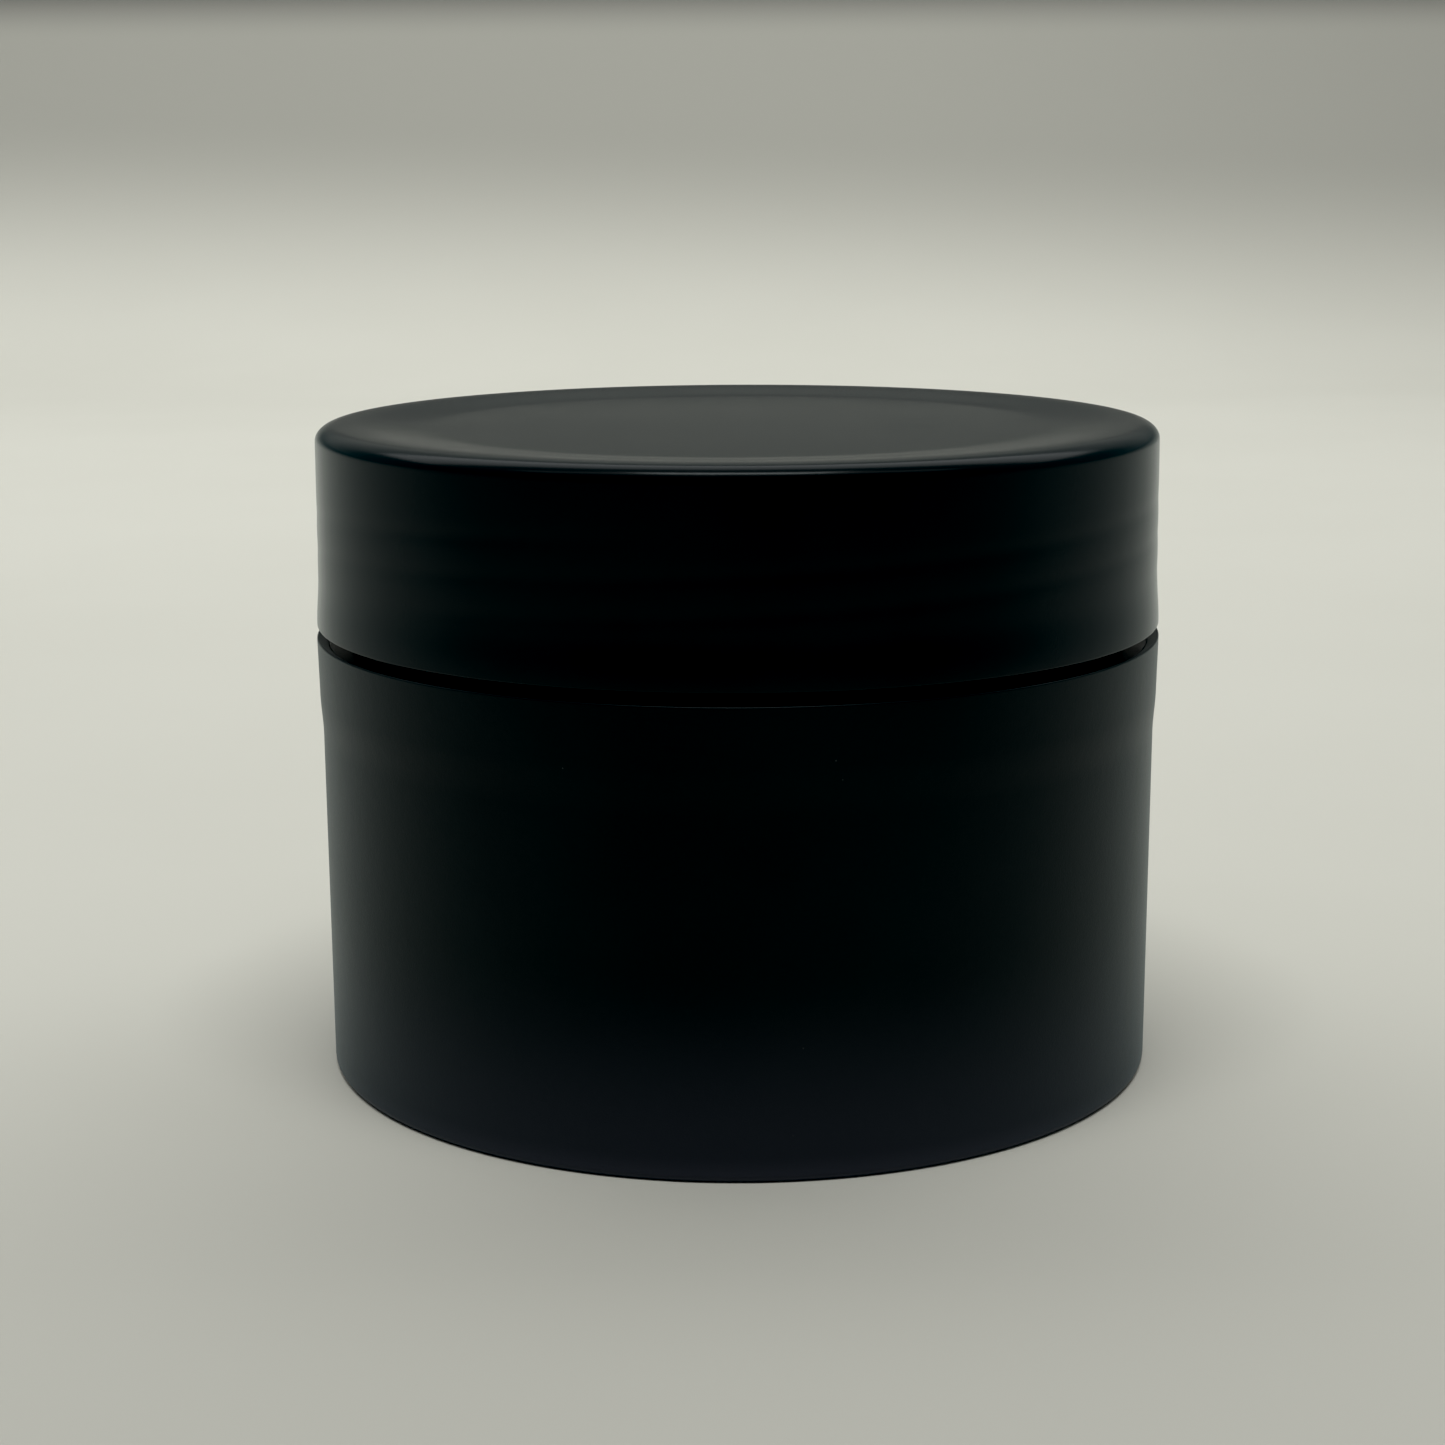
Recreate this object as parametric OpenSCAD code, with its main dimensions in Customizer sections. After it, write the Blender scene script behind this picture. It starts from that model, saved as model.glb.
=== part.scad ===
// Round candle container: double-wall moulded jar, screw lid with liner, and a poured candle.
// The axis is +Z, the origin is the centre of the base, and the lid is screwed home.

/* [Jar] */
// Radius of the outer jar where the side wall leaves the base edge
base_r = 37.85; // [37.2:0.05:38]
// Radius of the outer jar at the top of its long drafted wall
wall_r = 38.20; // [38.2:0.05:38.35]
// Radius of the raised band above the drafted wall
band_r = 38.46; // [38.4:0.02:38.52]
// Radius of the jar at its shoulder, the widest place
shoulder_r = 38.60; // [38.55:0.01:38.7]
// Height at which the drafted wall ends and the swell to the band begins
wall_top_z = 30.5; // [28:0.5:31]
// Height at which the swell reaches the band
band_z = 34.8; // [33:0.1:36]
// Height of the shoulder face
shoulder_z = 39.7; // [39:0.1:40]
// Thickness of the outer jar's wall and floor
jar_wall = 1.8; // [1.5:0.1:1.9]
// Radius on the bottom outer edge
base_edge_r = 0.65; // [0.3:0.05:1.2]
// Depth of the recess under the base, inside the foot ring
foot_h = 1.2; // [0.8:0.1:1.6]
// Inner radius of the foot ring
foot_r = 34.4; // [33:0.1:35]

/* [Inner cup] */
// Bore radius of the cup at its mouth
bore_r = 33.6; // [33:0.1:33.8]
// Bore radius of the cup just above its floor
bore_floor_r = 33.0; // [32.5:0.1:33.4]
// Height of the floor that the candle stands on
floor_z = 5.5; // [5.2:0.1:7]
// Thickness of the cup's floor
cup_floor = 1.6; // [1.2:0.1:2]
// Radius of the fillet between bore and floor
bore_fillet = 3.0; // [2:0.5:5]
// Outer radius of the threaded neck
neck_r = 35.4; // [35.3:0.05:35.5]
// Height of the neck's rim
neck_top_z = 55.3; // [55:0.1:55.3]
// Depth of the rebate in the jar's rim, where the cup's flange sits
rebate_depth = 1.5; // [1.2:0.1:2]
// Radius of the rebate in the jar's rim
rebate_r = 37.6; // [37.4:0.05:37.7]

/* [Lid] */
// Outer radius of the lid's straight side
lid_r = 38.37; // [38.3:0.01:38.45]
// Outer radius of the lid's bottom edge, which flares a little
lid_edge_r = 38.56; // [38.5:0.01:38.6]
// Height of the lid's bottom edge
lid_edge_z = 40.74; // [40.4:0.02:41.2]
// Height of the crest of the lid's rim
lid_top_z = 58.83; // [58.8:0.01:59.4]
// Radial size of the rounding between side and top
rim_radial = 1.9; // [1.4:0.1:2.4]
// Axial size of the rounding between side and top
rim_axial = 1.35; // [1.1:0.05:1.6]
// Depth of the shallow dish in the top
dish_depth = 0.45; // [0.2:0.05:0.6]
// Radius of the flat panel at the bottom of the dish
dish_r = 27.7; // [25:0.1:32]
// Bore radius of the lid's skirt
lid_bore_r = 36.7; // [36.65:0.01:36.75]
// Height of the ceiling inside the lid
ceiling_z = 56.7; // [56.7:0.05:57]

/* [Screw thread] */
// Number of thread starts
starts = 3; // [2:1:3]
// Axial distance from one ridge to the next
pitch = 3.2; // [3.2:0.1:3.6]
// Crest radius of the ridges on the neck
neck_crest_r = 36.2; // [36:0.05:36.25]
// Crest radius of the ridges in the lid
lid_crest_r = 35.75; // [35.7:0.05:35.9]
// Axial gap between the flanks that pull the lid down
flank_gap = 0.25; // [0.15:0.05:0.4]
// Height of the middle of the lid's lowest ridge
lid_thread_z = 45.3; // [45:0.1:45.6]
// Height that each ridge climbs from its start to its end
thread_rise = 7.8; // [6:0.1:7.8]
// Direction in which the first ridge in the lid starts, in degrees
thread_az = -150; // [-180:5:180]

/* [Liner] */
// Thickness of the foam liner
liner_t = 1.3; // [1:0.05:1.3]
// Radius of the foam liner
liner_r = 36.5; // [36.2:0.05:36.6]

/* [Candle] */
// Height of the wax in the middle of its surface
wax_z = 44.2; // [38:0.1:46]
// Height that the wax climbs where it meets the cup
meniscus_h = 0.7; // [0.2:0.1:1.2]
// Width of the curved edge of the wax
meniscus_w = 2.6; // [1.5:0.1:4]
// Radius of the cotton wick
wick_r = 1.3; // [1:0.05:1.6]
// Height of the wick's trimmed end
wick_top_z = 50.4; // [47:0.1:52]
// Radius of the sustainer's disc
sustainer_r = 9; // [7:0.5:10]
// Thickness of the sustainer's sheet
sheet_t = 0.3; // [0.2:0.05:0.4]
// Height of the sustainer's crimped neck above its disc
crimp_h = 6; // [4:0.5:8]
// Radius of the adhesive sticker
sticker_r = 9; // [7:0.5:10]
// Thickness of the adhesive sticker
sticker_t = 1.0; // [0.5:0.1:1.5]
// Gap left between wax, cup and wick, which touch on the real candle
candle_gap = 0.05; // [0.02:0.01:0.1]

/* [Hidden] */
$fn = 180;

// Small roundings and clearances
edge_break = 0.15;      // radius on the sharp moulded edges
arc_steps = 6;          // straight steps in each rounded corner
rebate_gap = 0.05;      // flange to rebate, all round
rim_fall = 0.5;         // the jar's rim slopes down inwards by this much, to the top of the flange
flare_low = 0.2;        // the flare of the lid's edge lies between these heights above the edge
flare_high = 4.5;
cup_wall = 1.6;         // wall of the cup below its flange
lip_r = 0.6;            // rounding of the neck's rim
root_fillet = 0.5;      // fillet where the neck leaves the flange
gate_r = 1.6;           // stub of the moulding gate under the base
gate_h = 0.35;
entry_chamfer = 0.5;    // lead-in inside the lid's bottom edge
entry_h = 0.9;

// Thread sections: half widths of a ridge at its root and at its crest
neck_root_half = 1.0;
neck_crest_half = 0.5;
lid_root_half = 0.95;
lid_crest_half = 0.4;
sink_in = 0.4;          // how far a ridge's root is buried in its wall
crest_break = 0.15;     // small bevel on each crest
step_deg = 6;           // angle from one ring of a ridge to the next
fade_deg = 24;          // angle over which a ridge rises from its wall
neck_az_lag = 40;       // the neck's ridges start this far round from the lid's
lead = pitch * starts;
sweep_deg = 360 * thread_rise / lead;

// The lid's ridge hangs below the neck's ridge by this much, middle to middle
neck_half_at_lid_crest = neck_root_half
    - (neck_root_half - neck_crest_half) * (lid_crest_r - neck_r) / (neck_crest_r - neck_r);
ridge_offset = lid_crest_half + neck_half_at_lid_crest + flank_gap;

ledge_z = shoulder_z - rebate_depth;
flange_z = shoulder_z - rim_fall;
liner_z = neck_top_z + candle_gap;
disc_z = floor_z + sticker_t;

// Points of an arc about c, from angle a0 to a1, with radii r[0] across and r[1] up
function arc(c, r, a0, a1) = [
    for (i = [0:arc_steps]) let (a = a0 + (a1 - a0) * i / arc_steps)
        [c[0] + r[0] * cos(a), c[1] + r[1] * sin(a)]
];

// Smooth step from 0 to 1
function ease(t) = t * t * (3 - 2 * t);

// Points of a smooth S-shaped step from a to b, eased in height
function s_curve(a, b) = [
    for (i = [0:arc_steps]) let (t = i / arc_steps)
        [a[0] + (b[0] - a[0]) * t, a[1] + (b[1] - a[1]) * ease(t)]
];

// Outline of the wax, from its axis at the floor to its axis at the surface
function wax_outline() = let (
        r_top = bore_r - (bore_r - bore_floor_r) * (neck_top_z - wax_z) / (neck_top_z - floor_z)
            - candle_gap,
        r_floor = bore_floor_r - candle_gap,
        low = floor_z + candle_gap,
        fillet = bore_fillet
    ) concat(
        [[0, low]],
        arc([r_floor - fillet, low + fillet], [fillet, fillet], -90, 0),
        [[r_top, wax_z + meniscus_h]],
        [for (i = [1:arc_steps]) let (t = i / arc_steps)
            [r_top - meniscus_w * t, wax_z + meniscus_h * pow(1 - t, 2)]],
        [[0, wax_z]]
    );

// One ridge of the screw thread, climbing anticlockwise as seen from above.
// root is the wall's radius, crest the ridge's, side is 1 for an outside wall and -1 for a bore.
module ridge(root, crest, root_half, crest_half, side, z0, az0) {
    steps = ceil(sweep_deg / step_deg);
    buried = root - side * sink_in;
    rings = [
        for (i = [0:steps]) let (
            a = sweep_deg * i / steps,
            rise = ease(min(1, a / fade_deg, (sweep_deg - a) / fade_deg)),
            top = buried + (crest - buried) * max(rise, 0.2),
            z = z0 + lead * a / 360,
            section = [
                [buried, -root_half],
                [top - side * crest_break, -crest_half],
                [top, -crest_half + crest_break],
                [top, crest_half - crest_break],
                [top - side * crest_break, crest_half],
                [buried, root_half]
            ]
        ) [for (p = section) [p[0] * cos(az0 + a), p[0] * sin(az0 + a), z + p[1]]]
    ];
    n = len(rings[0]);
    sides = [
        for (i = [0:steps - 1], j = [0:n - 1]) let (k = (j + 1) % n)
            [i * n + j, (i + 1) * n + j, (i + 1) * n + k, i * n + k]
    ];
    split = [for (f = sides) each [[f[0], f[1], f[2]], [f[0], f[2], f[3]]]];
    first = [for (j = [0:n - 1]) j];
    last = [for (j = [n - 1:-1:0]) steps * n + j];
    faces = concat(split, [first, last]);
    points = [for (ring = rings) each ring];
    polyhedron(points, side < 0 ? faces : [for (f = faces) [for (j = [len(f) - 1:-1:0]) f[j]]]);
}

// All the ridges of one thread
module thread(root, crest, root_half, crest_half, side, z0, az0) {
    for (i = [0:starts - 1])
        ridge(root, crest, root_half, crest_half, side, z0, az0 + i * 360 / starts);
}

// Outer shell of the jar: drafted wall, recessed base on a foot ring, rebated rim
module outer_jar() {
    inner_top_r = band_r - jar_wall;
    inner_floor_r = base_r - jar_wall;
    floor_top = foot_h + jar_wall;
    color([0.045, 0.05, 0.05]) union() {
        rotate_extrude() polygon(concat(
            [[0, foot_h], [foot_r - foot_h, foot_h], [foot_r, 0]],
            arc([base_r - base_edge_r, base_edge_r], [base_edge_r, base_edge_r], -90, 0),
            [[wall_r, wall_top_z]],
            s_curve([wall_r, wall_top_z], [band_r, band_z]),
            arc([shoulder_r - edge_break, shoulder_z - edge_break], [edge_break, edge_break], 0, 90),
            [[rebate_r, flange_z], [rebate_r, ledge_z], [inner_top_r, ledge_z]],
            arc([inner_floor_r - bore_fillet, floor_top + bore_fillet],
                [bore_fillet, bore_fillet], 0, -90),
            [[0, floor_top]]
        ));
        translate([0, 0, foot_h - gate_h]) cylinder(r = gate_r, h = gate_h * 2);
    }
}

// Cup that holds the candle: flange in the jar's rebate, and the threaded neck above it
module inner_cup() {
    underside = floor_z - cup_floor;
    outer_fillet = bore_fillet + cup_floor;
    low_r = bore_floor_r + cup_wall;
    flange_r = rebate_r - rebate_gap;
    color([0.03, 0.032, 0.034]) union() {
        rotate_extrude() polygon(concat(
            [[0, underside]],
            arc([low_r - outer_fillet, underside + outer_fillet], [outer_fillet, outer_fillet], -90, 0),
            [[low_r + 0.4, ledge_z], [flange_r, ledge_z], [flange_r, flange_z]],
            arc([neck_r + root_fillet, flange_z + root_fillet],
                [root_fillet, root_fillet], -90, -180),
            arc([neck_r - lip_r, neck_top_z - lip_r], [lip_r, lip_r], 0, 90),
            arc([bore_r + lip_r, neck_top_z - lip_r], [lip_r, lip_r], 90, 180),
            arc([bore_floor_r - bore_fillet, floor_z + bore_fillet],
                [bore_fillet, bore_fillet], 0, -90),
            [[0, floor_z]]
        ));
        thread(neck_r, neck_crest_r, neck_root_half, neck_crest_half, 1,
            lid_thread_z + ridge_offset - pitch + lead * neck_az_lag / 360, thread_az + neck_az_lag);
    }
}

// One-piece lid: skirt with the inner thread, rounded rim and shallow dished top
module lid() {
    dish_z = lid_top_z - dish_depth;
    crest_r = lid_r - rim_radial;
    color([0.05, 0.055, 0.055]) union() {
        rotate_extrude() polygon(concat(
            [[0, ceiling_z], [lid_bore_r, ceiling_z]],
            [[lid_bore_r, lid_edge_z + entry_h], [lid_bore_r + entry_chamfer, lid_edge_z]],
            arc([lid_edge_r - edge_break, lid_edge_z + edge_break], [edge_break, edge_break], -90, 0),
            [[lid_edge_r, lid_edge_z + flare_low], [lid_r, lid_edge_z + flare_high]],
            arc([crest_r, lid_top_z - rim_axial], [rim_radial, rim_axial], 0, 90),
            s_curve([crest_r - 0.4, lid_top_z], [dish_r, dish_z]),
            [[0, dish_z]]
        ));
        thread(lid_bore_r, lid_crest_r, lid_root_half, lid_crest_half, -1, lid_thread_z, thread_az);
    }
}

// Foam disc between the lid's ceiling and the rim of the neck
module lid_liner() {
    color([0.86, 0.87, 0.86])
        translate([0, 0, liner_z]) cylinder(r = liner_r, h = liner_t);
}

// Poured wax, cast round the sticker, the sustainer and the wick
module wax() {
    gap = candle_gap;
    color([0.93, 0.90, 0.82]) difference() {
        rotate_extrude() polygon(wax_outline());
        translate([0, 0, floor_z - gap])
            cylinder(r = max(sticker_r, sustainer_r) + gap, h = sticker_t + sheet_t + 2 * gap);
        translate([0, 0, disc_z])
            cylinder(r = wick_r + sheet_t + 3 * gap, h = sheet_t + crimp_h + 2 * gap);
        cylinder(r = wick_r + gap, h = wick_top_z);
    }
}

// Braided cotton wick, held in the sustainer
module wick() {
    color([0.90, 0.88, 0.82])
        translate([0, 0, disc_z + candle_gap]) cylinder(r = wick_r, h = wick_top_z - disc_z - candle_gap);
}

// Stamped sheet disc with a neck that is crimped round the wick
module wick_sustainer() {
    color([0.72, 0.73, 0.74]) difference() {
        union() {
            translate([0, 0, disc_z]) cylinder(r = sustainer_r, h = sheet_t);
            translate([0, 0, disc_z]) cylinder(r = wick_r + sheet_t + candle_gap, h = sheet_t + crimp_h);
        }
        translate([0, 0, disc_z - 1]) cylinder(r = wick_r + candle_gap, h = crimp_h + 3);
    }
}

// Double-sided foam sticker that holds the sustainer to the cup's floor
module wick_sticker() {
    color([0.95, 0.95, 0.93])
        translate([0, 0, floor_z]) cylinder(r = sticker_r, h = sticker_t);
}

outer_jar();
inner_cup();
lid();
lid_liner();
wax();
wick();
wick_sustainer();
wick_sticker();
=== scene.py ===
import math
import random

import bpy
from mathutils import Matrix, Vector


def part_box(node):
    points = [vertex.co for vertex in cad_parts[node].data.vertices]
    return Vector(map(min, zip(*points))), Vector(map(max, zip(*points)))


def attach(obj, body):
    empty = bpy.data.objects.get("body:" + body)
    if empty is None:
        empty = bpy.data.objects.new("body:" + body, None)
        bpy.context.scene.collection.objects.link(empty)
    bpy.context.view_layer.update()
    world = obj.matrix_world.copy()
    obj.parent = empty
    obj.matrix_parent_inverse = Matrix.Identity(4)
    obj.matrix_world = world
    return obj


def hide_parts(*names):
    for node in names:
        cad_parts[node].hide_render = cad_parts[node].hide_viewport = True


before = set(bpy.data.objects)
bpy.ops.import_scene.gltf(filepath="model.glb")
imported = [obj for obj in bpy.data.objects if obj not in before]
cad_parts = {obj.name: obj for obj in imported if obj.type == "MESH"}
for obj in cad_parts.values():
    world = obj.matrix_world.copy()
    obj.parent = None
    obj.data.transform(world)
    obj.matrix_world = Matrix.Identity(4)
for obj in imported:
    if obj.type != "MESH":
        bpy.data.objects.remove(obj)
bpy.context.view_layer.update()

MM = 0.001
GAP = 0.05 * MM  # between neighbouring pieces

# ---------------------------------------------------------------- sizes, from the frame
jar_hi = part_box("outer_jar")[1]
cup_lo, cup_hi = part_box("inner_cup")
lid_lo, lid_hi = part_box("lid")
liner_lo, liner_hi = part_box("lid_liner")
wax_lo, wax_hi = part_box("wax")
wick_lo, wick_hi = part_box("wick")
sustainer_lo, sustainer_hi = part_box("wick_sustainer")
sticker_lo, sticker_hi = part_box("wick_sticker")

# Jar, in metres
SHOULDER_R, SHOULDER_Z = jar_hi.x, jar_hi.z
BASE_R = SHOULDER_R - 0.75 * MM
WALL_R = SHOULDER_R - 0.40 * MM
BAND_R = SHOULDER_R - 0.14 * MM
WALL_TOP_Z = SHOULDER_Z - 9.1 * MM
BAND_Z = SHOULDER_Z - 4.8 * MM
WALL_T = 1.8 * MM
FOOT_H = 1.2 * MM
FOOT_R = 34.4 * MM
BASE_EDGE = 0.65 * MM
EDGE = 0.15 * MM
REBATE_R = 37.6 * MM
REBATE_DEPTH = 1.5 * MM
RIM_FALL = 0.5 * MM
GATE_R, GATE_DEPTH = 1.6 * MM, 0.35 * MM
# How far the shoulder and the lid's lower edge are out of true, and over what height it fades
UNEVEN, UNEVEN_FADE = 0.02 * MM, 0.5 * MM

# Inner cup
NECK_TOP_Z = cup_hi.z
CUP_BOTTOM_Z = cup_lo.z
NECK_R = 35.4 * MM
BORE_R = 33.6 * MM
BORE_FLOOR_R = 33.0 * MM
CUP_FLOOR = 1.6 * MM
FLOOR_Z = CUP_BOTTOM_Z + CUP_FLOOR
FILLET = 3.0 * MM
LIP = 0.6 * MM
NECK_CREST = 0.8 * MM
NECK_FILLET = 0.5 * MM
CHAMFER = 0.08 * MM

# Lid
LID_EDGE_R, LID_EDGE_Z = lid_hi.x, lid_lo.z
LID_TOP_Z = lid_hi.z
LID_R = LID_EDGE_R - 0.19 * MM
LID_BORE_R = 36.7 * MM
CEILING_Z = liner_hi.z + GAP
CEILING_FILLET = 0.3 * MM
MOUTH_H, MOUTH_W = 0.9 * MM, 0.5 * MM
RIM_R, RIM_Z = 1.9 * MM, 1.35 * MM
RIM_FLAT = 0.4 * MM
DISH_R, DISH_DEPTH = 27.7 * MM, 0.45 * MM
FLARE_LOW, FLARE_HIGH = 0.2 * MM, 4.5 * MM
LID_CREST = 0.95 * MM
SINK_DEPTH, SINK_HALF = 0.03 * MM, 0.75 * MM

# Screw thread
STARTS = 3
PITCH = 3.2 * MM
LEAD = PITCH * STARTS
LID_THREAD_Z = LID_EDGE_Z + 4.56 * MM
THREAD_RISE = 7.8 * MM
THREAD_AZ = math.radians(-150)
NECK_LAG = math.radians(40)
RIDGE_OFFSET = 1.43 * MM
# Half the ridge's width along Z at its root and at its crest
NECK_ROOT, NECK_TIP = 1.0 * MM, 0.5 * MM
LID_ROOT, LID_TIP = 0.95 * MM, 0.4 * MM
THREAD_STEP = 0.12 * MM
SWEEP = 2 * math.pi * THREAD_RISE / LEAD
FADE = math.radians(24)

# Candle
WAX_Z = wax_hi.z - 0.7 * MM
WICK_R = wick_hi.x
SHEET = 0.3 * MM


# ---------------------------------------------------------------- mesh helpers
def ease(t):
    t = min(1.0, max(0.0, t))
    return t * t * (3 - 2 * t)


def arc(centre, radii, start, end, steps=8):
    """Points (r, z) of an arc from angle start to end, in degrees."""
    points = []
    for i in range(steps + 1):
        a = math.radians(start + (end - start) * i / steps)
        points.append((centre[0] + radii[0] * math.cos(a), centre[1] + radii[1] * math.sin(a)))
    return points


def s_curve(a, b, steps=12):
    """Points from a to b whose r eases in and out as z (or the other way round) runs evenly."""
    points = []
    for i in range(steps + 1):
        t = i / steps
        if abs(b[1] - a[1]) > abs(b[0] - a[0]):
            points.append((a[0] + (b[0] - a[0]) * ease(t), a[1] + (b[1] - a[1]) * t))
        else:
            points.append((a[0] + (b[0] - a[0]) * t, a[1] + (b[1] - a[1]) * ease(t)))
    return points


def fine(points, step):
    """The same outline with no stretch longer than step, so that it can carry fine shape."""
    out = [points[0]]
    for p, q in zip(points, points[1:]):
        length = math.hypot(q[0] - p[0], q[1] - p[1])
        n = max(1, math.ceil(length / step))
        for i in range(1, n + 1):
            out.append((p[0] + (q[0] - p[0]) * i / n, p[1] + (q[1] - p[1]) * i / n))
    return out


def distinct(points):
    """The outline without repeated points."""
    out = [points[0]]
    for p in points[1:]:
        if math.hypot(p[0] - out[-1][0], p[1] - out[-1][1]) > 1e-7:
            out.append(p)
    return out


def revolve(name, outline, columns, shape=None):
    """A closed piece turned from an outline of (r, z), anticlockwise with r to the right.

    The outline either starts and ends on the axis or is a closed loop off it. shape(az, r, z)
    gives the detail that isn't round, as a change of r and z."""
    outline = distinct(outline)
    on_axis = outline[0][0] < 1e-9
    verts, faces, rows = [], [], []
    for r, z in outline:
        if r < 1e-9:
            rows.append([len(verts)] * columns)
            verts.append((0, 0, z))
            continue
        rows.append(list(range(len(verts), len(verts) + columns)))
        for i in range(columns):
            az = 2 * math.pi * i / columns
            dr, dz = shape(az, r, z) if shape else (0, 0)
            verts.append(((r + dr) * math.cos(az), (r + dr) * math.sin(az), z + dz))
    pairs = list(zip(rows, rows[1:]))
    if not on_axis:
        pairs.append((rows[-1], rows[0]))
    for low, high in pairs:
        for i in range(columns):
            j = (i + 1) % columns
            corners = [low[i], low[j], high[j], high[i]]
            face = [v for n, v in enumerate(corners) if v not in corners[:n]]
            if len(face) > 2:
                faces.append(face)
    return solid(name, verts, faces)


def solid(name, verts, faces):
    mesh = bpy.data.meshes.new(name)
    mesh.from_pydata(verts, [], faces)
    mesh.validate()
    mesh.shade_smooth()
    piece = bpy.data.objects.new(name, mesh)
    bpy.context.scene.collection.objects.link(piece)
    return piece


def even_normals(piece):
    """Large faces keep their own direction, so small roundings don't bend their shading."""
    mod = piece.modifiers.new("even_normals", "WEIGHTED_NORMAL")
    mod.mode = "FACE_AREA"
    mod.weight = 100
    mod.keep_sharp = True


def finished(piece, body, slot, material, *nodes):
    piece.data.materials.append(material)
    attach(piece, body)
    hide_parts(*nodes)
    return piece


# ---------------------------------------------------------------- material helpers
class Shader:
    """Builds a procedural material round one Principled shader."""

    def __init__(self, name, colour, roughness, **inputs):
        self.material = bpy.data.materials.new(name)
        self.material.use_nodes = True
        self.tree = self.material.node_tree
        self.tree.nodes.clear()
        out = self.tree.nodes.new("ShaderNodeOutputMaterial")
        self.shader = self.tree.nodes.new("ShaderNodeBsdfPrincipled")
        self.tree.links.new(self.shader.outputs[0], out.inputs["Surface"])
        self.place = self.tree.nodes.new("ShaderNodeTexCoord").outputs["Object"]
        self.shader.inputs["Base Color"].default_value = (*colour, 1)
        self.shader.inputs["Roughness"].default_value = roughness
        for key, value in inputs.items():
            self.shader.inputs[key.replace("_", " ")].default_value = value

    def node(self, kind, **settings):
        made = self.tree.nodes.new(kind)
        for key, value in settings.items():
            setattr(made, key, value)
        return made

    def link(self, source, target):
        self.tree.links.new(source, target)

    def noise(self, scale, detail=4.0, rough=0.6, stretch=None, distortion=0.0):
        """Noise of that many features a metre."""
        made = self.node("ShaderNodeTexNoise")
        made.inputs["Scale"].default_value = scale
        made.inputs["Detail"].default_value = detail
        made.inputs["Roughness"].default_value = rough
        made.inputs["Distortion"].default_value = distortion
        self.link(self.mapped(stretch), made.inputs["Vector"])
        return made.outputs["Fac"]

    def cells(self, scale):
        """Distance to the nearest of scattered points, that many a metre."""
        made = self.node("ShaderNodeTexVoronoi", feature="F1")
        made.inputs["Scale"].default_value = scale
        self.link(self.place, made.inputs["Vector"])
        return made.outputs["Distance"]

    def axes(self):
        """X, Y and Z of the place, in metres."""
        made = self.node("ShaderNodeSeparateXYZ")
        self.link(self.place, made.inputs[0])
        return made.outputs["X"], made.outputs["Y"], made.outputs["Z"]

    def mapped(self, stretch):
        """The place, scaled by that much along each axis."""
        if stretch is None:
            return self.place
        made = self.node("ShaderNodeMapping")
        made.inputs["Scale"].default_value = stretch
        self.link(self.place, made.inputs["Vector"])
        return made.outputs[0]

    def ramp(self, source, low, high, to_low=0.0, to_high=1.0):
        """source from low..high, mapped to to_low..to_high and held there outside."""
        made = self.node("ShaderNodeMapRange", interpolation_type="SMOOTHSTEP")
        made.inputs["From Min"].default_value = low
        made.inputs["From Max"].default_value = high
        made.inputs["To Min"].default_value = to_low
        made.inputs["To Max"].default_value = to_high
        self.link(source, made.inputs["Value"])
        return made.outputs["Result"]

    def combine(self, a, b, operation="ADD"):
        made = self.node("ShaderNodeMath", operation=operation)
        for value, socket in ((a, made.inputs[0]), (b, made.inputs[1])):
            if isinstance(value, (int, float)):
                socket.default_value = value
            else:
                self.link(value, socket)
        return made.outputs[0]

    def mix(self, factor, a, b):
        """Colour a where factor is 0, b where it is 1."""
        made = self.node("ShaderNodeMix", data_type="RGBA")
        self.link(factor, made.inputs["Factor"])
        sockets = [s for s in made.inputs if s.type == "RGBA"]
        for value, socket in ((a, sockets[0]), (b, sockets[1])):
            if isinstance(value, tuple):
                socket.default_value = (*value, 1)
            else:
                self.link(value, socket)
        return [s for s in made.outputs if s.type == "RGBA"][0]

    def tone(self, source, factor):
        """The colour times factor."""
        made = self.node("ShaderNodeVectorMath", operation="SCALE")
        self.link(source, made.inputs[0])
        self.link(factor, made.inputs["Scale"])
        return made.outputs[0]

    def colour(self, source):
        self.link(source, self.shader.inputs["Base Color"])

    def roughness(self, source):
        self.link(source, self.shader.inputs["Roughness"])

    def bump(self, height, depth):
        """height from 0 to 1 stands for that depth in metres."""
        made = self.node("ShaderNodeBump")
        made.inputs["Distance"].default_value = depth
        self.link(height, made.inputs["Height"])
        if self.shader.inputs["Normal"].is_linked:
            self.link(self.shader.inputs["Normal"].links[0].from_socket, made.inputs["Normal"])
        self.link(made.outputs["Normal"], self.shader.inputs["Normal"])


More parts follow.
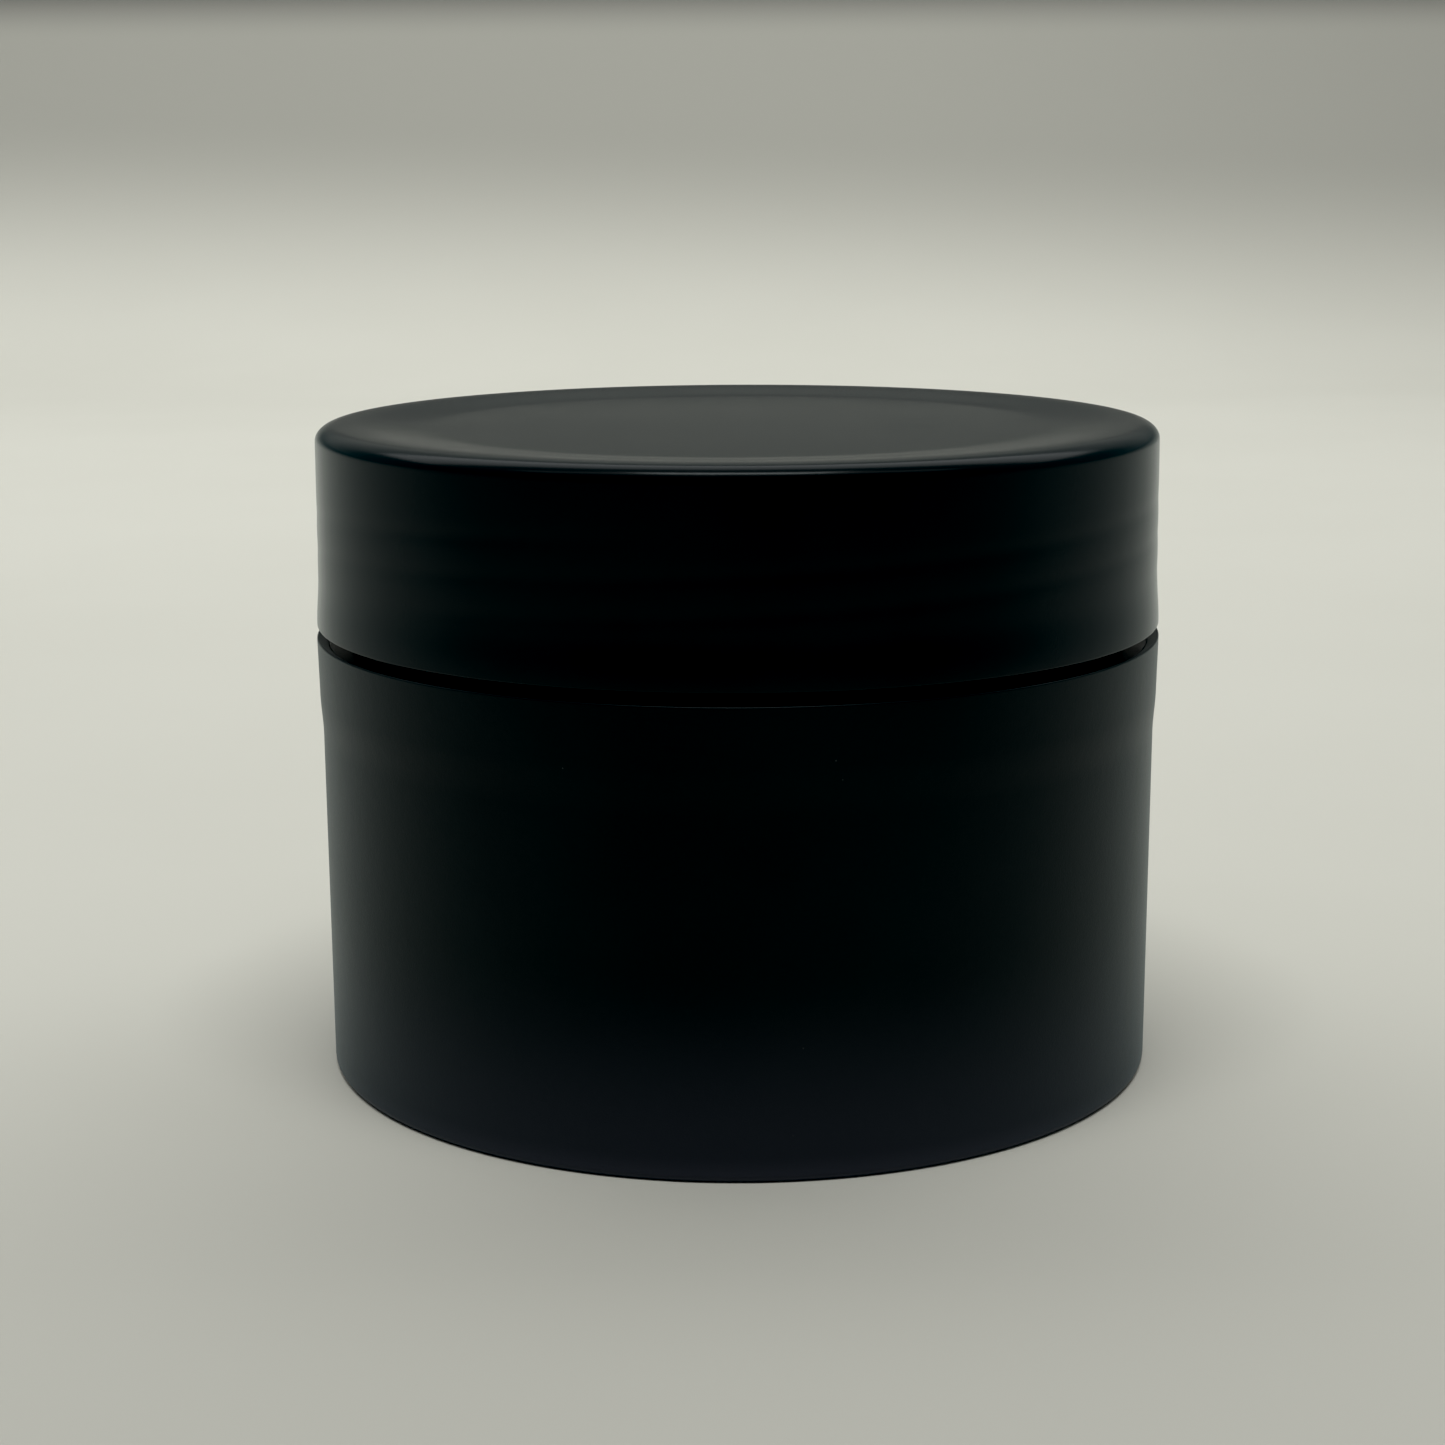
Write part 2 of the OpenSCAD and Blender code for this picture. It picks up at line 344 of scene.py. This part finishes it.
def black_plastic(name, tint, roughness, grain, floor_reflection=None):
    """Matte black moulded plastic: eroded mould grain, faint haze, a few specks of dust.

    foot is the colour of a painted reflection of the lit floor, which the plastic turns towards near
    its bottom."""
    dust_grey = (0.10, 0.105, 0.10)
    m = Shader(name, tint, roughness, IOR=1.18, Sheen_Weight=0.045, Sheen_Roughness=0.5)
    m.shader.inputs["Specular Tint"].default_value = (0.90, 1.0, 1.0, 1)
    m.shader.inputs["Sheen Tint"].default_value = (0.0, 0.80, 1.0, 1)
    haze = m.noise(38, 3, 0.55)
    streaks = m.noise(60, 4, 0.6, stretch=(1, 1, 0.25))
    speck = m.ramp(m.cells(1100), 0.05, 0.09, 1, 0)
    rare = m.ramp(m.noise(95, 2, 0.5), 0.70, 0.74)
    dusty = m.combine(speck, rare, "MULTIPLY")
    pale = tuple(c * 1.35 + 0.0015 for c in tint)
    clean = m.mix(m.ramp(haze, 0.35, 0.7), tint, pale)
    if floor_reflection:
        # Painted reflection: the plastic lightens towards its bottom, most at the contact, in place of
        # the lit floor's reflection.
        z = m.axes()[2]
        floor_reflection_fade = m.ramp(z, 0.0, 18 * MM, 0.35, 0)
        contact_reflection_fade = m.ramp(z, 0.0, 2.4 * MM, 0.25, 0)
        clean = m.mix(m.combine(floor_reflection_fade, contact_reflection_fade), clean, floor_reflection)
    m.colour(m.mix(dusty, clean, dust_grey))
    rough = m.combine(m.ramp(haze, 0.3, 0.7, -0.015, 0.015), m.ramp(streaks, 0.3, 0.7, -0.01, 0.01))
    m.roughness(m.combine(rough, roughness))
    m.bump(m.noise(5200, 3, 0.65), grain)
    m.bump(m.noise(900, 2, 0.5), grain * 0.8)
    return m.material


def liner_foam():
    m = Shader("liner_foam", (0.80, 0.81, 0.80), 0.72)
    pores = m.cells(2600)
    tone = m.noise(70, 3, 0.5)
    m.colour(m.mix(m.ramp(tone, 0.3, 0.7), (0.78, 0.79, 0.78), (0.86, 0.87, 0.86)))
    m.bump(m.ramp(pores, 0.1, 0.6), 0.05 * MM)
    m.bump(m.noise(600, 3, 0.5), 0.03 * MM)
    return m.material


def candle_wax():
    m = Shader("candle_wax", (0.90, 0.84, 0.71), 0.42, Subsurface_Weight=0.35, Subsurface_Scale=0.004)
    m.shader.inputs["Subsurface Radius"].default_value = (1.0, 0.75, 0.5)
    bloom = m.noise(90, 5, 0.65, distortion=0.6)
    frost = m.combine(m.ramp(bloom, 0.48, 0.68), m.ramp(m.noise(700, 4, 0.7), 0.35, 0.65), "MULTIPLY")
    m.colour(m.mix(frost, (0.89, 0.83, 0.70), (0.95, 0.93, 0.86)))
    m.roughness(m.ramp(bloom, 0.3, 0.7, 0.34, 0.55))
    m.bump(m.noise(150, 4, 0.55), 0.12 * MM)
    m.bump(m.noise(1900, 3, 0.6), 0.012 * MM)
    return m.material


def wick_cotton():
    m = Shader("wick_cotton", (0.86, 0.82, 0.72), 0.62, Sheen_Weight=0.25)
    fibres = m.noise(2600, 3, 0.6, stretch=(1, 1, 0.22))
    waxed = m.noise(420, 3, 0.5)
    m.colour(m.mix(m.ramp(waxed, 0.35, 0.65), (0.80, 0.74, 0.60), (0.92, 0.89, 0.81)))
    m.roughness(m.ramp(waxed, 0.35, 0.65, 0.42, 0.75))
    m.bump(fibres, 0.05 * MM)
    return m.material


def sustainer_steel():
    m = Shader("sustainer_steel", (0.62, 0.63, 0.64), 0.28, Metallic=1.0)
    rolled = m.noise(900, 4, 0.6, stretch=(1, 0.04, 1))
    m.roughness(m.ramp(rolled, 0.3, 0.7, 0.2, 0.4))
    m.colour(m.mix(m.ramp(m.noise(160, 3, 0.5), 0.3, 0.7), (0.56, 0.57, 0.58), (0.68, 0.69, 0.70)))
    m.bump(rolled, 0.006 * MM)
    return m.material


def sticker_foam():
    m = Shader("sticker_foam", (0.88, 0.88, 0.85), 0.8)
    pores = m.cells(3200)
    m.colour(m.mix(m.ramp(m.noise(300, 3, 0.5), 0.3, 0.7), (0.84, 0.84, 0.81), (0.91, 0.91, 0.88)))
    m.bump(m.ramp(pores, 0.1, 0.6), 0.04 * MM)
    return m.material


# Painted reflection: the bluish colour that the jar's bottom turns towards, in place of the lit floor's
# reflection.
PAINTED_FLOOR_REFLECTION = (0.060, 0.062, 0.085)
JAR_BLACK = black_plastic("jar_plastic", (0.0012, 0.0024, 0.0026), 0.33, 0.012 * MM, PAINTED_FLOOR_REFLECTION)
LID_BLACK = black_plastic("lid_plastic", (0.0012, 0.0024, 0.0028), 0.19, 0.004 * MM)
CUP_BLACK = black_plastic("cup_plastic", (0.0012, 0.0024, 0.0028), 0.26, 0.006 * MM)


# ---------------------------------------------------------------- screw thread
def ridge_height(az, z, first_z, first_az, root_half, crest_half):
    """How far the thread stands from its wall at that place, from 0 to 1."""
    best = 0.0
    for start in range(STARTS):
        a = (az - first_az - start * 2 * math.pi / STARTS) % (2 * math.pi)
        if a > SWEEP:
            continue
        middle = first_z + LEAD * a / (2 * math.pi)
        side = ease((root_half - abs(z - middle)) / (root_half - crest_half))
        best = max(best, side * ease(min(a, SWEEP - a) / FADE))
    return best


def sink(az, z):
    """Depth, from 0 to 1, of the sink mark that the lid's thread leaves on its outside."""
    best = 0.0
    for start in range(STARTS):
        a = (az - THREAD_AZ - start * 2 * math.pi / STARTS) % (2 * math.pi)
        if a > SWEEP:
            continue
        middle = LID_THREAD_Z + LEAD * a / (2 * math.pi)
        side = math.exp(-((z - middle) / SINK_HALF) ** 2)
        best = max(best, side * ease(min(a, SWEEP - a) / FADE))
    return best


# ---------------------------------------------------------------- pieces
def ripple(seed, size):
    """A slow unevenness round an edge: a few low waves with fixed random phases."""
    draw = random.Random(seed)
    waves = []
    for n in (2, 3, 5, 9, 17, 31, 53):
        waves.append((n, draw.uniform(0.4, 1) / n ** 0.5, draw.uniform(0, 2 * math.pi)))
    total = sum(w[1] for w in waves)
    return lambda az: size * sum(k * math.sin(n * az + p) for n, k, p in waves) / total


def outer_jar():
    inner_top = BAND_R - WALL_T
    inner_low = BASE_R - WALL_T
    floor_top = FOOT_H + WALL_T
    ledge_z = SHOULDER_Z - REBATE_DEPTH
    flange_z = SHOULDER_Z - RIM_FALL
    gate_z = FOOT_H - GATE_DEPTH
    foot_round, nick = 0.3 * MM, 0.05 * MM
    outline = [(0, gate_z), (GATE_R * 0.8, gate_z), (GATE_R, FOOT_H - 0.1 * MM)]
    outline += [(GATE_R + 0.1 * MM, FOOT_H), (FOOT_R - FOOT_H, FOOT_H)]
    outline += arc((FOOT_R + foot_round, foot_round), (foot_round, foot_round), 225, 270, 4)
    outline += arc((BASE_R - BASE_EDGE, BASE_EDGE), (BASE_EDGE, BASE_EDGE), -90, 0)
    outline += [(WALL_R, WALL_TOP_Z)]
    outline += s_curve((WALL_R, WALL_TOP_Z), (BAND_R, BAND_Z))
    outline += arc((SHOULDER_R - EDGE, SHOULDER_Z - EDGE), (EDGE, EDGE), 0, 90, 6)
    outline += [(REBATE_R + nick, flange_z + 0.3 * nick), (REBATE_R, flange_z - nick)]
    outline += [(REBATE_R, ledge_z), (inner_top, ledge_z)]
    outline += arc((inner_low - FILLET, floor_top + FILLET), (FILLET, FILLET), 0, -90)
    outline += [(0, floor_top)]
    edge = ripple(11, UNEVEN)
    fade_z = SHOULDER_Z - 0.6 * MM

    def shape(az, r, z):
        near_top = ease((z - fade_z) / UNEVEN_FADE) if r > REBATE_R else 0
        return (-abs(edge(az)) * near_top, -abs(edge(az + 1)) * near_top)

    piece = revolve("jar_shell", fine(outline, 1.0 * MM), 360, shape)
    even_normals(piece)
    return finished(piece, "jar", "jar_plastic", JAR_BLACK, "outer_jar")


def inner_cup():
    low_r = BORE_FLOOR_R + CUP_FLOOR
    outer_fillet = FILLET + CUP_FLOOR
    flange_r = REBATE_R - GAP
    ledge_z = SHOULDER_Z - REBATE_DEPTH
    flange_z = SHOULDER_Z - RIM_FALL
    first_z = LID_THREAD_Z + RIDGE_OFFSET - PITCH + LEAD * NECK_LAG / (2 * math.pi)
    below = [(0, CUP_BOTTOM_Z)]
    below_middle = (low_r - outer_fillet, CUP_BOTTOM_Z + outer_fillet)
    below += arc(below_middle, (outer_fillet, outer_fillet), -90, 0)
    below += [(low_r + 0.4 * MM, ledge_z), (flange_r, ledge_z), (flange_r, flange_z - CHAMFER)]
    below += [(flange_r - CHAMFER, flange_z)]
    neck_z = flange_z + NECK_FILLET
    below += arc((NECK_R + NECK_FILLET, neck_z), (NECK_FILLET, NECK_FILLET), -90, -180, 5)
    neck = fine([(NECK_R, neck_z), (NECK_R, NECK_TOP_Z - LIP)], THREAD_STEP)
    above = arc((NECK_R - LIP, NECK_TOP_Z - LIP), (LIP, LIP), 0, 90, 6)
    above += arc((BORE_R + LIP, NECK_TOP_Z - LIP), (LIP, LIP), 90, 180, 6)
    above += arc((BORE_FLOOR_R - FILLET, FLOOR_Z + FILLET), (FILLET, FILLET), 0, -90)
    above += [(0, FLOOR_Z)]

    def shape(az, r, z):
        if abs(r - NECK_R) > 1e-6 or z > NECK_TOP_Z - LIP:
            return (0, 0)
        height = ridge_height(az, z, first_z, THREAD_AZ + NECK_LAG, NECK_ROOT, NECK_TIP)
        return (NECK_CREST * height, 0)

    piece = revolve("cup", fine(below, 1.5 * MM) + neck + fine(above, 1.5 * MM), 360, shape)
    even_normals(piece)
    return finished(piece, "jar", "cup_plastic", CUP_BLACK, "inner_cup")


def lid():
    crest_r = LID_R - RIM_R
    dish_z = LID_TOP_Z - DISH_DEPTH
    inside = [(0, CEILING_Z)]
    corner = (LID_BORE_R - CEILING_FILLET, CEILING_Z - CEILING_FILLET)
    inside += arc(corner, (CEILING_FILLET, CEILING_FILLET), 90, 0, 4)
    bore = fine([(LID_BORE_R, corner[1]), (LID_BORE_R, LID_EDGE_Z + MOUTH_H)], THREAD_STEP)
    edge_line = [(LID_BORE_R + MOUTH_W, LID_EDGE_Z)]
    edge_line += arc((LID_EDGE_R - EDGE, LID_EDGE_Z + EDGE), (EDGE, EDGE), -90, 0, 6)
    edge_line += [(LID_EDGE_R, LID_EDGE_Z + FLARE_LOW)]
    edge_line += s_curve((LID_EDGE_R, LID_EDGE_Z + FLARE_LOW), (LID_R, LID_EDGE_Z + FLARE_HIGH), 8)
    skirt = fine([(LID_R, LID_EDGE_Z + FLARE_HIGH), (LID_R, LID_TOP_Z - RIM_Z)], 0.25 * MM)
    top = arc((crest_r, LID_TOP_Z - RIM_Z), (RIM_R, RIM_Z), 0, 90, 16)
    top += s_curve((crest_r - RIM_FLAT, LID_TOP_Z), (DISH_R, dish_z), 16)
    top += [(0, dish_z)]
    edge = ripple(23, UNEVEN)

    def shape(az, r, z):
        if abs(r - LID_BORE_R) < 1e-6 and z < CEILING_Z - 1 * MM:
            height = ridge_height(az, z, LID_THREAD_Z, THREAD_AZ, LID_ROOT, LID_TIP)
            return (-LID_CREST * height, 0)
        if r > LID_R - 0.01 * MM and z > LID_EDGE_Z + 2 * MM:
            return (-SINK_DEPTH * sink(az, z), 0)
        if r > LID_BORE_R and z < LID_EDGE_Z + 0.6 * MM:
            low = 1 - ease((z - LID_EDGE_Z) / UNEVEN_FADE)
            return (-abs(edge(az)) * low, abs(edge(az + 2)) * low)
        return (0, 0)

    outline = fine(inside, 2 * MM) + bore + fine(edge_line, 0.5 * MM) + skirt + fine(top, 1.5 * MM)
    piece = revolve("lid_cap", outline, 360, shape)
    even_normals(piece)
    return finished(piece, "lid", "lid_plastic", LID_BLACK, "lid")


def lid_liner():
    r, z0, z1 = liner_hi.x, liner_lo.z, liner_hi.z
    press = 0.14 * MM
    round_r = 0.25 * MM
    outline = [(0, z0), (BORE_R - 0.5 * MM, z0)]
    outline += s_curve((BORE_R - 0.5 * MM, z0), (BORE_R + 0.2 * MM, z0 + press), 6)
    outline += s_curve((NECK_R - 0.2 * MM, z0 + press), (NECK_R + 0.3 * MM, z0), 6)
    outline += arc((r - round_r, z0 + round_r), (round_r, round_r), -90, 0, 5)
    outline += arc((r - round_r, z1 - round_r), (round_r, round_r), 0, 90, 5)
    outline += [(0, z1)]
    piece = revolve("liner_disc", fine(outline, 1.0 * MM), 240)
    even_normals(piece)
    return finished(piece, "liner", "liner_foam", liner_foam(), "lid_liner")


def wax():
    """The poured candle, hollow over the sustainer. It climbs the cup's wall and the wick a little."""
    depth = (NECK_TOP_Z - WAX_Z) / (NECK_TOP_Z - FLOOR_Z)
    top_r = BORE_R - (BORE_R - BORE_FLOOR_R) * depth - GAP
    floor_r = BORE_FLOOR_R - GAP
    disc_r = sustainer_hi.x + GAP
    crimp_r = WICK_R + 0.45 * MM
    hole_r = WICK_R + GAP
    low = wax_lo.z
    disc_top = sticker_hi.z + SHEET + GAP
    wall = wax_hi.z
    climb_w = 2.6 * MM
    wick_climb_w, wick_climb_h = 2.2 * MM, 0.5 * MM
    outline = [(disc_r, low)]
    outline += arc((floor_r - FILLET, low + FILLET), (FILLET, FILLET), -90, 0)
    outline += [(top_r, wall)]
    for i in range(1, 13):
        t = i / 12
        outline.append((top_r - climb_w * t, WAX_Z + (wall - WAX_Z) * (1 - t) ** 2.2))
    outline += fine([(top_r - climb_w, WAX_Z), (hole_r + wick_climb_w, WAX_Z)], 0.9 * MM)
    for i in range(1, 9):
        t = i / 8
        outline.append((hole_r + wick_climb_w * (1 - t), WAX_Z + wick_climb_h * t ** 2.5))
    outline += [(hole_r, sustainer_hi.z + GAP), (crimp_r, sustainer_hi.z + GAP)]
    outline += [(crimp_r, disc_top), (disc_r, disc_top)]
    swell = ripple(5, 0.05 * MM)
    margin = 0.1 * MM
    dip_depth = 0.10 * MM

    def shape(az, r, z):
        if z < WAX_Z - margin or r < hole_r + margin or r > top_r - margin:
            return (0, 0)
        dip = dip_depth * math.cos(math.pi * (r / top_r) ** 1.5)
        return (0, swell(az + 9 * r / top_r) * ease(r / top_r * 2) * 0.6 - abs(dip) * 0.5)

    piece = revolve("candle", outline, 240, shape)
    even_normals(piece)
    return finished(piece, "jar", "candle_wax", candle_wax(), "wax")


def tube(path, radius, sides, verts, faces):
    """Adds a closed tube along path to verts and faces. radius is a number or one per point."""
    aside = Vector((0.31, 0.87, 0.12))  # any way that the path never runs
    first = len(verts)
    n = len(path)
    for i, p in enumerate(path):
        along = (path[min(i + 1, n - 1)] - path[max(i - 1, 0)]).normalized()
        across = along.cross(aside).normalized()
        up = along.cross(across)
        r = radius[i] if isinstance(radius, list) else radius
        for k in range(sides):
            a = 2 * math.pi * k / sides
            verts.append(p + across * r * math.cos(a) + up * r * math.sin(a))
    for i in range(n - 1):
        for k in range(sides):
            m = (k + 1) % sides
            a, b = first + i * sides, first + (i + 1) * sides
            faces.append([a + k, a + m, b + m, b + k])
    faces.append([first + k for k in reversed(range(sides))])
    faces.append([first + (n - 1) * sides + k for k in range(sides)])


def wick():
    """A round braid: two sets of strands wind opposite ways and pass over and under each other."""
    strands = 4
    strand_r = 0.34 * MM
    core_r = 0.62 * MM
    mean_r = WICK_R - strand_r - 0.14 * MM
    weave = 0.12 * MM
    turn = 5.2 * MM
    z0, z1 = wick_lo.z + strand_r, wick_hi.z - strand_r
    steps, core_steps = 260, 40
    verts, faces = [], []
    core = [Vector((0, 0, z0 + (z1 - z0) * i / core_steps)) for i in range(core_steps + 1)]
    tube(core, core_r, 12, verts, faces)
    draw = random.Random(3)
    for way in (1, -1):
        for k in range(strands):
            end = z1 - draw.uniform(0, 0.25) * MM
            path, radii = [], []
            for i in range(steps + 1):
                z = z0 + (end - z0) * i / steps
                phase = 2 * math.pi * (z - z0) / turn
                az = way * phase + 2 * math.pi * k / strands
                lift = weave * math.cos(strands * phase + (0 if way > 0 else math.pi) + math.pi * k)
                r = mean_r + lift
                path.append(Vector((r * math.cos(az), r * math.sin(az), z)))
                radii.append(strand_r * (0.75 if i in (0, steps) else 1))
            tube(path, radii, 8, verts, faces)
    piece = solid("wick_braid", verts, faces)
    return finished(piece, "jar", "wick_cotton", wick_cotton(), "wick")


def wick_sustainer():
    """Stamped disc whose neck is pinched in at four places where it is crimped round the wick."""
    r, z0 = sustainer_hi.x, sustainer_lo.z
    bore = WICK_R + GAP
    neck = bore + SHEET
    top = sustainer_hi.z
    bend = 0.1 * MM
    pinch_z, pinch_h, pinch_depth = z0 + 4.2 * MM, 1.1 * MM, 0.04 * MM
    outline = [(bore, z0)]
    outline += arc((r - SHEET / 2, z0 + SHEET / 2), (SHEET / 2, SHEET / 2), -90, 90, 6)
    outline += arc((neck + bend, z0 + SHEET + bend), (bend, bend), -90, -180, 5)
    outline += [(neck, top - 0.1 * MM), (neck - 0.08 * MM, top)]
    outline += [(bore + 0.06 * MM, top), (bore, top - 0.1 * MM)]

    def shape(az, rr, z):
        if rr > neck + 0.05 * MM or z < z0 + 1.5 * MM:
            return (0, 0)
        pinch = max(0, math.cos(4 * az)) ** 3 * math.exp(-((z - pinch_z) / pinch_h) ** 2)
        return (-pinch_depth * pinch, 0)

    piece = revolve("sustainer", fine(outline, 0.4 * MM), 96, shape)
    even_normals(piece)
    return finished(piece, "jar", "sustainer_steel", sustainer_steel(), "wick_sustainer")


def wick_sticker():
    r, z0, z1 = sticker_hi.x, sticker_lo.z, sticker_hi.z
    bulge = 0.12 * MM
    middle = (z0 + z1) / 2
    outline = [(0, z0)]
    outline += arc((r - bulge, middle), (bulge, (z1 - z0) / 2), -90, 90, 10)
    outline += [(0, z1)]
    piece = revolve("sticker", fine(outline, 0.8 * MM), 96)
    even_normals(piece)
    return finished(piece, "jar", "sticker_foam", sticker_foam(), "wick_sticker")


outer_jar()
inner_cup()
lid()
lid_liner()
wax()
wick()
wick_sustainer()
wick_sticker()


# ---------------------------------------------------------------- camera
def make_camera():
    """A little higher than the lid's top, close to the object, looking slightly down."""
    distance, height = 6.573 * SHOULDER_R, 2.1644 * SHOULDER_R
    pitch, roll, yaw = 0.148, -0.0043, -0.0054
    ahead = Vector((math.sin(yaw) * math.cos(pitch), math.cos(yaw) * math.cos(pitch), -math.sin(pitch)))
    right = Vector((math.cos(yaw), -math.sin(yaw), 0))
    up = right.cross(ahead)
    rolled_right = right * math.cos(roll) + up * math.sin(roll)
    rolled_up = up * math.cos(roll) - right * math.sin(roll)
    camera = bpy.data.objects.new("camera", bpy.data.cameras.new("camera"))
    bpy.context.scene.collection.objects.link(camera)
    camera.matrix_world = Matrix((
        (rolled_right.x, rolled_up.x, -ahead.x, 0),
        (rolled_right.y, rolled_up.y, -ahead.y, -distance),
        (rolled_right.z, rolled_up.z, -ahead.z, height),
        (0, 0, 0, 1),
    ))
    camera.data.sensor_width = 36
    camera.data.lens = 69.135
    camera.data.shift_y = -0.1125
    camera.data.clip_start = 0.01
    camera.data.clip_end = 50
    bpy.context.scene.camera = camera


make_camera()


# ---------------------------------------------------------------- floor, backdrop and light
ROOM_TINT, ROOM_LIGHT = (0.5, 0.52, 0.52, 1), 0.06
ROOM_SEEN = (0.50, 0.50, 0.47, 1)
BLACK_LEVEL = (0.0036, 0.0032, 0.0029)


def paper():
    """Warm white card with painted shade: it greys as it climbs the backdrop, and higher up a paler
    painted light lies on it.

    A painted dark band lies at the height that the lid's top mirrors. Painted shadow makes the card a
    little darker in front of the object, and painted shade makes it darker to its right."""
    m = Shader("paper", (0.70, 0.70, 0.66), 0.75, IOR=1.3)
    card, clouded = (0.70, 0.70, 0.622), (0.72, 0.72, 0.642)
    # Painted shade and light on the backdrop: grey low on the wall, a dark band above it, paler painted
    # light higher up.
    grey, dark, pale = (0.375, 0.375, 0.332), (0.075, 0.075, 0.07), (0.32, 0.32, 0.295)
    x, y, z = m.axes()
    # The height leans with x, so the painted shade starts lower on the right.
    height = m.combine(z, m.combine(x, 0.03, "MULTIPLY"))
    floor_tone = m.mix(m.ramp(m.noise(7, 3, 0.5), 0.3, 0.7), card, clouded)
    low = m.mix(m.ramp(height, -0.004, 0.090), floor_tone, grey)
    high = m.mix(m.ramp(height, 0.22, 0.36), dark, pale)
    wall = m.mix(m.ramp(z, 0.132, 0.165), low, high)
    # Painted shadow in front of the object, and painted shade towards its right.
    painted_front_shadow = m.ramp(y, -0.16, 0.02, 0.75, 1.0)
    side = m.ramp(x, 0.03, 0.42, 1.0, 0.86)
    m.colour(m.tone(wall, m.combine(painted_front_shadow, side, "MULTIPLY")))
    return m.material


def make_stage():
    """A pale sheet that lies flat under the object and sweeps up behind it."""
    front, flat, bend, wall, half = -2.2, 0.70, 0.45, 0.9, 2.2
    steps = 24
    line = [(front, 0.0), (flat, 0.0)]
    for i in range(1, steps + 1):
        a = math.pi / 2 * i / steps
        line.append((flat + bend * math.sin(a), bend * (1 - math.cos(a))))
    line.append((flat + bend, bend + wall))
    verts, faces = [], []
    for y, z in line:
        verts += [(-half, y, z), (half, y, z)]
    for i in range(len(line) - 1):
        faces.append([2 * i, 2 * i + 1, 2 * i + 3, 2 * i + 2])
    sheet = solid("sheet", verts, faces)
    sheet.data.materials.append(paper())


def soft_light(name, place, aim, size, power):
    """A white rectangle that shines from place towards aim."""
    lamp = bpy.data.lights.new(name, "AREA")
    lamp.shape = "RECTANGLE"
    lamp.size, lamp.size_y = size
    lamp.energy = power
    holder = bpy.data.objects.new(name, lamp)
    holder.location = place
    holder.rotation_mode = "QUATERNION"
    holder.rotation_quaternion = (Vector(aim) - Vector(place)).to_track_quat("-Z", "Y")
    bpy.context.scene.collection.objects.link(holder)


def make_light():
    by_object = (0.0, -0.05, 0.0)
    by_backdrop = (0.0, 0.85, 0.0)
    soft_light("behind", (0.0, 0.58, 0.82), by_backdrop, size=(2.0, 0.9), power=10.4)
    soft_light("front", (0.0, -0.26, 0.90), by_object, size=(1.6, 0.14), power=1.0)
    soft_light("lamp", (0.0, -0.22, 0.90), by_object, size=(0.50, 0.16), power=3.1)
    world = bpy.data.worlds.new("studio")
    world.use_nodes = True
    tree = world.node_tree
    room = tree.nodes["Background"]
    room.inputs["Color"].default_value = ROOM_TINT
    room.inputs["Strength"].default_value = ROOM_LIGHT
    seen = tree.nodes.new("ShaderNodeBackground")
    seen.inputs["Color"].default_value = ROOM_SEEN
    choice = tree.nodes.new("ShaderNodeMixShader")
    tree.links.new(tree.nodes.new("ShaderNodeLightPath").outputs["Is Camera Ray"], choice.inputs[0])
    tree.links.new(room.outputs[0], choice.inputs[1])
    tree.links.new(seen.outputs[0], choice.inputs[2])
    tree.links.new(choice.outputs[0], tree.nodes["World Output"].inputs["Surface"])
    bpy.context.scene.world = world
    view = bpy.context.scene.view_settings
    view.view_transform = "Standard"
    view.use_curve_mapping = True
    view.curve_mapping.black_level = BLACK_LEVEL
    view.curve_mapping.update()


make_stage()
make_light()
